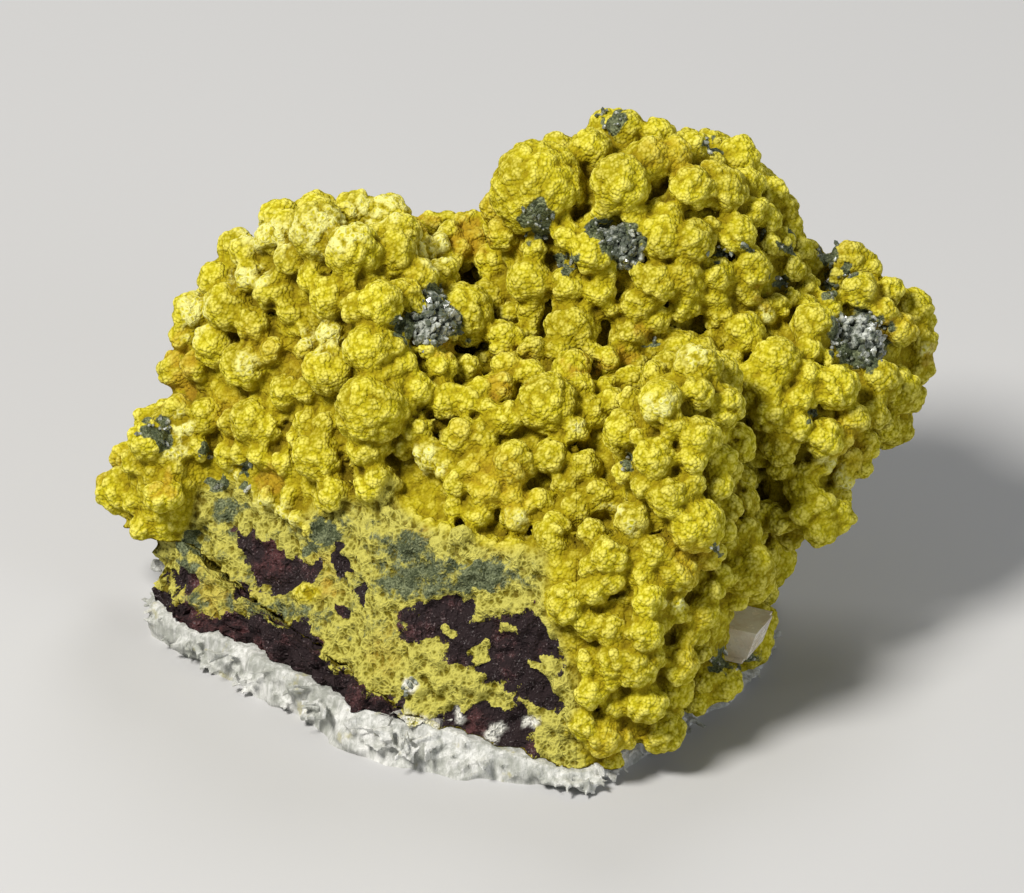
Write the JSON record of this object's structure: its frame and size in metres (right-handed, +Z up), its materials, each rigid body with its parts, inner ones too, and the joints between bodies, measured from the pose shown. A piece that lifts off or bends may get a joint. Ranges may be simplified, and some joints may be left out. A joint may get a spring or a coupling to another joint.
{
  "type": "mineral specimen",
  "caption": "Hand-sized botryoidal crust of gartrellite, broken down one side, on dark iron oxide and a white crystalline matrix, with grey quartz druse.",
  "frame": {"origin": "middle of the bounding box's footprint, on the plane the specimen rests on", "axes": "+X to the right along the specimen's longest way, +Y away from the viewer who faces the broken side, +Z up from the white matrix"},
  "size_m": [0.0501, 0.0352, 0.0309],
  "materials": {
    "gartrellite": "matt, finely granular",
    "iron_oxide": "dull, earthy",
    "white_matrix": "crystalline, slightly pearly",
    "calcite": "vitreous",
    "quartz": "vitreous"
  },
  "bodies": {
    "root": {"gartrellite_crust": "gartrellite", "iron_oxide_layer": "iron_oxide", "white_matrix": "white_matrix", "calcite_crystal": "calcite", "quartz_druse_left": "quartz", "quartz_druse_top": "quartz", "quartz_druse_right": "quartz"}
  },
  "joints": []
}
